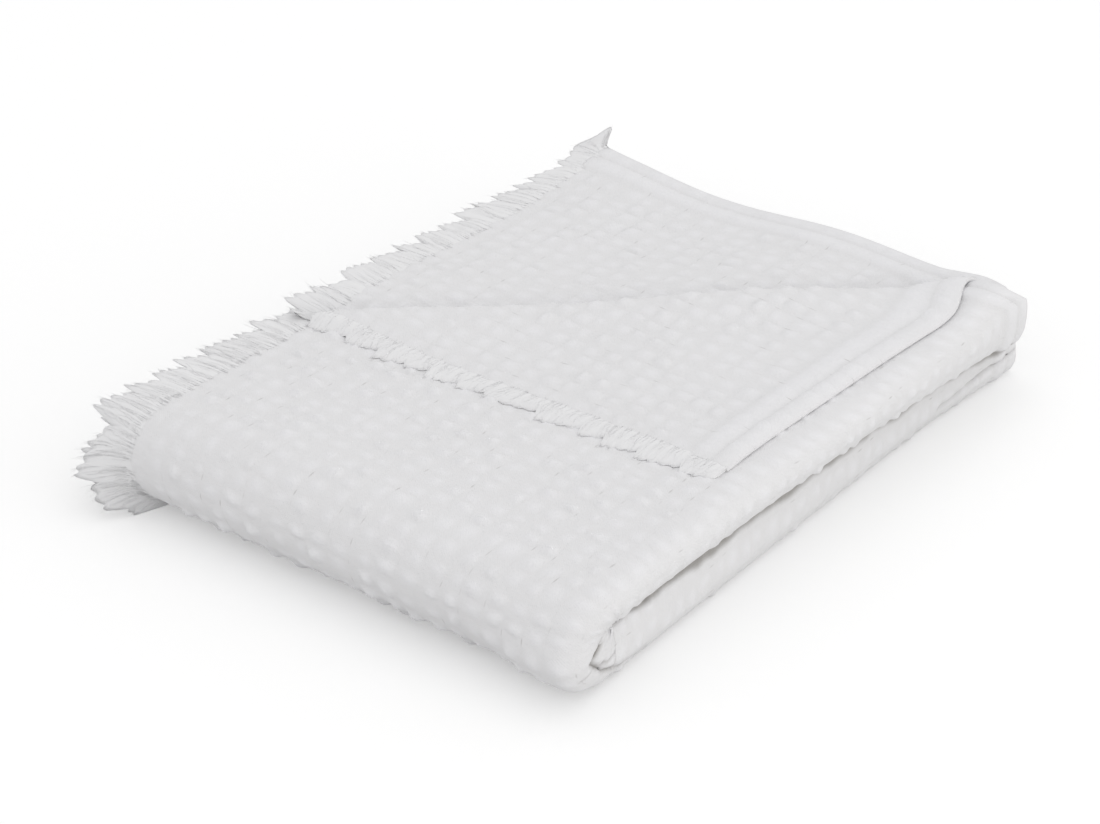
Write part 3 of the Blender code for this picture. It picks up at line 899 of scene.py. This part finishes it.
def yarn_points(at, clump, chance):
    """The points of one yarn, on one side of the lip and a little past its tip."""
    kind = STRAY if chance.random() < STRAY_SHARE else FELTED
    past = at.length * chance.uniform(*YARN_LENGTHS) * kind.longer
    sway = chance.gauss(0, kind.sway)
    bow = chance.gauss(0, YARN_BOW)
    side = chance.choice(YARN_SIDES)
    off = chance.uniform(*kind.off)
    start = -chance.uniform(*YARN_INSET)
    gather = -tuft_offset(clump, at.t) * clump.width / clump.tufts * TUFT_GATHERS
    points = []
    for step in range(YARN_STEPS + 1):
        reach = mix(start, past, step / YARN_STEPS)
        drawn = clamp(reach / past)
        surface = max(body_half(at, min(reach, at.length)), CLOTH_END_HALF * (reach < 0))
        sideways = (gather + sway) * drawn ** GATHER_POWER + bow * math.sin(math.tau * drawn)
        points.append(fringe_point(at, reach, sideways, side * (surface + off * drawn)))
    return points


def draw_yarn(mesh, pattern, points, flat):
    """A tapering tube of three sides through the points, closed to a point at its tip."""
    way = (points[-1] - points[0]).normalized()
    side = way.orthogonal().normalized()
    other = way.cross(side)
    rings = []
    for step, point in enumerate(points[:-1]):
        radius = mix(YARN_ROOT, YARN_TIP, step / YARN_STEPS) * (ROOT_SHARE if step == 0 else 1)
        corners = (math.tau * corner / 3 for corner in range(3))
        rings.append([
            mesh.verts.new(point + (side * math.cos(a) + other * math.sin(a)) * radius)
            for a in corners
        ])
    faces = [(a[k], a[k - 2], b[k - 2], b[k]) for a, b in zip(rings, rings[1:]) for k in range(3)]
    tip = mesh.verts.new(points[-1])
    faces += [(rings[-1][k], rings[-1][k - 2], tip) for k in range(3)]
    for corners in [*faces, rings[0][::-1]]:
        for loop in mesh.faces.new(corners).loops:
            loop[pattern].uv = flat


# %% Make both fringes
YARN_SPACING = 0.0005


def make_fringe(end):
    chance = random.Random(end.seed)
    mesh = bmesh.new()
    pattern = mesh.loops.layers.uv.new("pattern")
    clumps = make_clumps(chance)
    draw_body(mesh, pattern, end, clumps)
    for clump in clumps:
        for _ in range(round(clump.width / YARN_SPACING)):
            at = end_frame(end, clump, clump.start + clump.width * chance.uniform(0.01, 0.99))
            draw_yarn(mesh, pattern, yarn_points(at, clump, chance), (at.t, chance.random()))
    bmesh.ops.recalc_face_normals(mesh, faces=mesh.faces[:])
    data = bpy.data.meshes.new(end.name)
    mesh.to_mesh(data)
    mesh.free()
    data.shade_smooth()
    fringe = bpy.data.objects.new(end.name, data)
    bpy.context.scene.collection.objects.link(fringe)
    return fringe


fringes = {end.name: make_fringe(end) for end in ENDS}
for name, fringe in fringes.items():
    print(name, "has", len(fringe.data.polygons), "faces")

# %% [markdown]
# ## The cotton
#
# Undyed white cotton is matt and a little fuzzy. Close up it shows its yarns, and from a step away
# its valleys look a touch darker and warmer than its puffs, which the colour paints as shade in the
# valleys and a highlight on the puffs. The yarns and the fuzz are the same on the cloth and on the
# fringe, so they are a node group that both materials use.

# %% Helpers for nodes
def add_node(tree, kind, links=(), **settings):
    """A node with its settings made and its inputs filled, by links or by plain values."""
    made = tree.nodes.new(kind)
    for name, value in settings.items():
        setattr(made, name, value)
    for socket, value in links:
        if isinstance(value, bpy.types.NodeSocket):
            tree.links.new(value, made.inputs[socket])
        else:
            made.inputs[socket].default_value = value
    return made


def maths(tree, operation, first, second=0.0):
    return add_node(
        tree, "ShaderNodeMath", ((0, first), (1, second)), operation=operation
    ).outputs[0]


# %% The group for spun yarns
def make_yarn_group():
    group = bpy.data.node_groups.new("spun_yarns", "ShaderNodeTree")
    sockets = group.interface
    sockets.new_socket("Place", in_out="INPUT", socket_type="NodeSocketVector")
    sockets.new_socket("Yarns per metre", in_out="INPUT", socket_type="NodeSocketFloat")
    sockets.new_socket("Fuzz", in_out="INPUT", socket_type="NodeSocketFloat")
    sockets.new_socket("Height", in_out="OUTPUT", socket_type="NodeSocketFloat")
    sockets.new_socket("Tone", in_out="OUTPUT", socket_type="NodeSocketFloat")
    given = group.nodes.new("NodeGroupInput")
    result = group.nodes.new("NodeGroupOutput")
    split = add_node(group, "ShaderNodeSeparateXYZ", ((0, given.outputs["Place"]),))
    rate = maths(group, "MULTIPLY", given.outputs["Yarns per metre"], math.pi)
    crossing = [
        maths(group, "SINE", maths(group, "MULTIPLY", split.outputs[axis], rate))
        for axis in (0, 1)
    ]
    over_under = maths(group, "MULTIPLY", *crossing)
    fuzz = add_node(
        group,
        "ShaderNodeTexNoise",
        (("Vector", given.outputs["Place"]), ("Scale", 900.0), ("Detail", 4.0)),
    ).outputs["Fac"]
    fuzz = maths(group, "MULTIPLY", fuzz, given.outputs["Fuzz"])
    group.links.new(maths(group, "ADD", over_under, fuzz), result.inputs["Height"])
    slow = add_node(
        group,
        "ShaderNodeTexNoise",
        (("Vector", given.outputs["Place"]), ("Scale", 22.0), ("Detail", 3.0)),
    ).outputs["Fac"]
    group.links.new(slow, result.inputs["Tone"])
    return group


yarn_group = make_yarn_group()

# %% The cloth's material
# On the cloth the puff share mixes towards the white colour on puff tops as a painted highlight and
# towards the valley colour in the valleys as painted shade, besides random tone. On the fringe the
# valley colour is random tone only.
WHITE = (0.825, 0.821, 0.838, 1)
VALLEY = (0.785, 0.780, 0.790, 1)
FRINGE_WHITE = (0.845, 0.843, 0.852, 1)
# The shaded colour is painted shade on the crease between the rolls, the puckers and the hole.
SHADED = (0.10, 0.08, 0.05, 1)
SHADED_SHARE = 0.58
# The slit colour is painted shade in the small gaps at some corners of the lattice.
SLIT_SHADE = (0.60, 0.59, 0.59, 1)
SLIT_SIZE = (0.0008, 0.0042)
SLIT_SHARE = 0.35


def make_slit_shade(tree, pattern):
    """Short slits of painted shade at some corners of the lattice, where four puffs pull the yarns
    apart.
    """
    from_border = add_node(
        tree, "ShaderNodeVectorMath", ((0, pattern), (1, (0.0, BORDER, 0.0))), operation="SUBTRACT"
    ).outputs[0]
    in_cells = add_node(
        tree,
        "ShaderNodeVectorMath",
        ((0, from_border), (1, (1 / CELL_LENGTH, 1 / CELL_WIDTH, 0.0)), (2, (0.5, 0.5, 0.0))),
        operation="MULTIPLY_ADD",
    ).outputs[0]
    corner = add_node(
        tree, "ShaderNodeVectorMath", ((0, in_cells),), operation="FLOOR"
    ).outputs[0]
    inside = add_node(
        tree, "ShaderNodeVectorMath", ((0, in_cells),), operation="FRACTION"
    ).outputs[0]
    scale = (CELL_LENGTH / SLIT_SIZE[0], CELL_WIDTH / SLIT_SIZE[1], 0.0)
    away = add_node(
        tree,
        "ShaderNodeVectorMath",
        ((0, inside), (1, scale), (2, (-scale[0] / 2, -scale[1] / 2, 0.0))),
        operation="MULTIPLY_ADD",
    ).outputs[0]
    distance = add_node(
        tree, "ShaderNodeVectorMath", ((0, away),), operation="LENGTH"
    ).outputs["Value"]
    slit = add_node(
        tree, "ShaderNodeMapRange", (("Value", distance), (1, 0.3), (2, 1.0), (3, 1.0), (4, 0.0))
    ).outputs[0]
    chance = add_node(
        tree, "ShaderNodeTexWhiteNoise", (("Vector", corner),), noise_dimensions="2D"
    ).outputs["Value"]
    depth = add_node(
        tree, "ShaderNodeMapRange", (("Value", chance), (1, SLIT_SHARE), (2, 0.0))
    ).outputs[0]
    return maths(tree, "MULTIPLY", slit, depth)


def make_cloth_material():
    material = bpy.data.materials.new("waffle_cotton")
    material.use_nodes = True
    tree = material.node_tree
    shader = tree.nodes["Principled BSDF"]
    shader.inputs["Roughness"].default_value = 0.95
    shader.inputs["Sheen Weight"].default_value = 0.25
    shader.inputs["Sheen Roughness"].default_value = 0.6
    shader.inputs["Specular IOR Level"].default_value = 0.2
    pattern = add_node(tree, "ShaderNodeUVMap", uv_map="pattern").outputs["UV"]
    yarns = add_node(tree, "ShaderNodeGroup", node_tree=yarn_group)
    tree.links.new(pattern, yarns.inputs["Place"])
    yarns.inputs["Yarns per metre"].default_value = 900.0
    yarns.inputs["Fuzz"].default_value = 1.2
    # Painted shade and highlight: the puff share darkens the valleys and lightens the puff tops, and
    # the yarns add random tone.
    puff = add_node(tree, "ShaderNodeAttribute", attribute_name="puff").outputs["Fac"]
    relief_shade_and_tone = maths(tree, "ADD", puff, maths(tree, "MULTIPLY", yarns.outputs["Tone"], 0.8))
    ramp = add_node(tree, "ShaderNodeMapRange", (("Value", relief_shade_and_tone), (1, 0.45), (2, 1.35)))
    colour = add_node(
        tree,
        "ShaderNodeMix",
        ((0, ramp.outputs[0]), (6, VALLEY), (7, WHITE)),
        data_type="RGBA",
    ).outputs[2]
    # Painted shade in the small gaps at some corners of the lattice.
    slits = make_slit_shade(tree, pattern)
    colour = add_node(
        tree, "ShaderNodeMix", ((0, slits), (6, colour), (7, SLIT_SHADE)), data_type="RGBA"
    ).outputs[2]
    # Painted shade: the crease attribute darkens the crease between the rolls, the puckers and the
    # hole.
    crease = add_node(tree, "ShaderNodeAttribute", attribute_name="crease").outputs["Fac"]
    crease = maths(tree, "MULTIPLY", crease, SHADED_SHARE)
    colour = add_node(
        tree, "ShaderNodeMix", ((0, crease), (6, colour), (7, SHADED)), data_type="RGBA"
    ).outputs[2]
    tree.links.new(colour, shader.inputs["Base Color"])
    crinkle = add_node(
        tree, "ShaderNodeTexNoise", (("Vector", pattern), ("Scale", 150.0), ("Detail", 3.0))
    ).outputs["Fac"]
    crinkled = add_node(
        tree, "ShaderNodeBump", (("Strength", 0.75), ("Distance", 0.0016), ("Height", crinkle))
    ).outputs["Normal"]
    bump = add_node(
        tree,
        "ShaderNodeBump",
        (("Strength", 0.35), ("Distance", 0.00018), ("Height", yarns.outputs["Height"])),
    )
    tree.links.new(crinkled, bump.inputs["Normal"])
    tree.links.new(bump.outputs["Normal"], shader.inputs["Normal"])
    return material


# %% The fringe's material
def make_fringe_material():
    material = bpy.data.materials.new("fringe_cotton")
    material.use_nodes = True
    tree = material.node_tree
    shader = tree.nodes["Principled BSDF"]
    shader.inputs["Roughness"].default_value = 0.95
    shader.inputs["Sheen Weight"].default_value = 0.5
    shader.inputs["Sheen Roughness"].default_value = 0.6
    shader.inputs["Specular IOR Level"].default_value = 0.2
    pattern = add_node(tree, "ShaderNodeUVMap", uv_map="pattern").outputs["UV"]
    drawn_out = add_node(
        tree, "ShaderNodeMapping", (("Vector", pattern), ("Scale", (1.0, 0.06, 1.0)))
    ).outputs[0]
    yarns = add_node(tree, "ShaderNodeGroup", node_tree=yarn_group)
    tree.links.new(drawn_out, yarns.inputs["Place"])
    yarns.inputs["Yarns per metre"].default_value = 700.0
    yarns.inputs["Fuzz"].default_value = 2.5
    colour = add_node(
        tree,
        "ShaderNodeMix",
        ((0, yarns.outputs["Tone"]), (6, VALLEY), (7, FRINGE_WHITE)),
        data_type="RGBA",
    ).outputs[2]
    tree.links.new(colour, shader.inputs["Base Color"])
    bump = add_node(
        tree,
        "ShaderNodeBump",
        (("Strength", 0.3), ("Distance", 0.0002), ("Height", yarns.outputs["Height"])),
    )
    tree.links.new(bump.outputs["Normal"], shader.inputs["Normal"])
    return material


cloth_material = make_cloth_material()
fringe_material = make_fringe_material()
for cloth in sheets.values():
    cloth.data.materials.append(cloth_material)
for fringe in fringes.values():
    fringe.data.materials.append(fringe_material)

# %% [markdown]
# ## Floor and light
#
# The photograph has a pure white ground and very even light. Most of it here comes from the white
# world all round. A weak lamp overhead and a warm, low one on the right make the rolled edge the
# brightest part, and the front fold turns darker towards the floor.
#
# A floor bright enough to look white would light the cloth from below as well. So this one is pale,
# and glows a little for the camera's own rays only.

# %% Floor
FLOOR_BELOW = 0.0002
FLOOR_TONE = (0.76, 0.76, 0.76, 1)
FLOOR_GLOW = 0.30

bpy.ops.mesh.primitive_plane_add(size=12, location=(0, 0, -FLOOR_BELOW))
floor = bpy.context.object
floor.name = "floor"
floor_material = bpy.data.materials.new("pale_floor")
floor_material.use_nodes = True
floor_shader = floor_material.node_tree.nodes["Principled BSDF"]
floor_shader.inputs["Base Color"].default_value = FLOOR_TONE
floor_shader.inputs["Roughness"].default_value = 0.9
floor_shader.inputs["Emission Color"].default_value = (1, 1, 1, 1)
seen = floor_material.node_tree.nodes.new("ShaderNodeLightPath")
glow = maths(floor_material.node_tree, "MULTIPLY", seen.outputs["Is Camera Ray"], FLOOR_GLOW)
floor_material.node_tree.links.new(glow, floor_shader.inputs["Emission Strength"])
floor.data.materials.append(floor_material)

# %% Lights
WORLD_STRENGTH = 0.87
Lamp = namedtuple("Lamp", "name place size power colour")
LAMPS = (
    Lamp("overhead", (0.0, 0.2, 2.4), 2.6, 3.2, (1.0, 1.0, 1.0)),
    Lamp("right", (2.2, 0.0, 0.30), 1.2, 8.5, (1.0, 0.985, 0.94)),
)
for lamp in LAMPS:
    light = bpy.data.lights.new(lamp.name, "AREA")
    light.shape = "DISK"
    light.size = lamp.size
    light.energy = lamp.power
    light.color = lamp.colour
    made = bpy.data.objects.new(lamp.name, light)
    made.location = lamp.place
    made.rotation_euler = (-Vector(lamp.place)).to_track_quat("-Z", "Y").to_euler()
    bpy.context.scene.collection.objects.link(made)
world = bpy.data.worlds.new("studio")
world.use_nodes = True
world.node_tree.nodes["Background"].inputs["Color"].default_value = (1, 1, 1, 1)
world.node_tree.nodes["Background"].inputs["Strength"].default_value = WORLD_STRENGTH
bpy.context.scene.world = world
bpy.context.scene.view_settings.view_transform = "Standard"

# %% [markdown]
# ## Putting each piece on the body
#
# Every piece rides on the pile's only body and stands for one of the plain solids, which is hidden.
# The sheets print how large they are when laid flat.

# %% Put the pieces on the body and hide the solids
def flat_size(sheet):
    along, across = sheet_lines(sheet)
    return round(across[-1] - across[0], 4), round(along[-1] - along[0], 4)


for sheet in SHEETS:
    cloth = sheets[sheet.name]
    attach(cloth, "root")
    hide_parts("waffle_cloth")
for name, fringe in fringes.items():
    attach(fringe, "root")
    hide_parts(name.removesuffix("_yarn"))
for sheet in SHEETS:
    flat_size(sheet)
    print(sheet.name, "is cut from", flat_size(sheet))
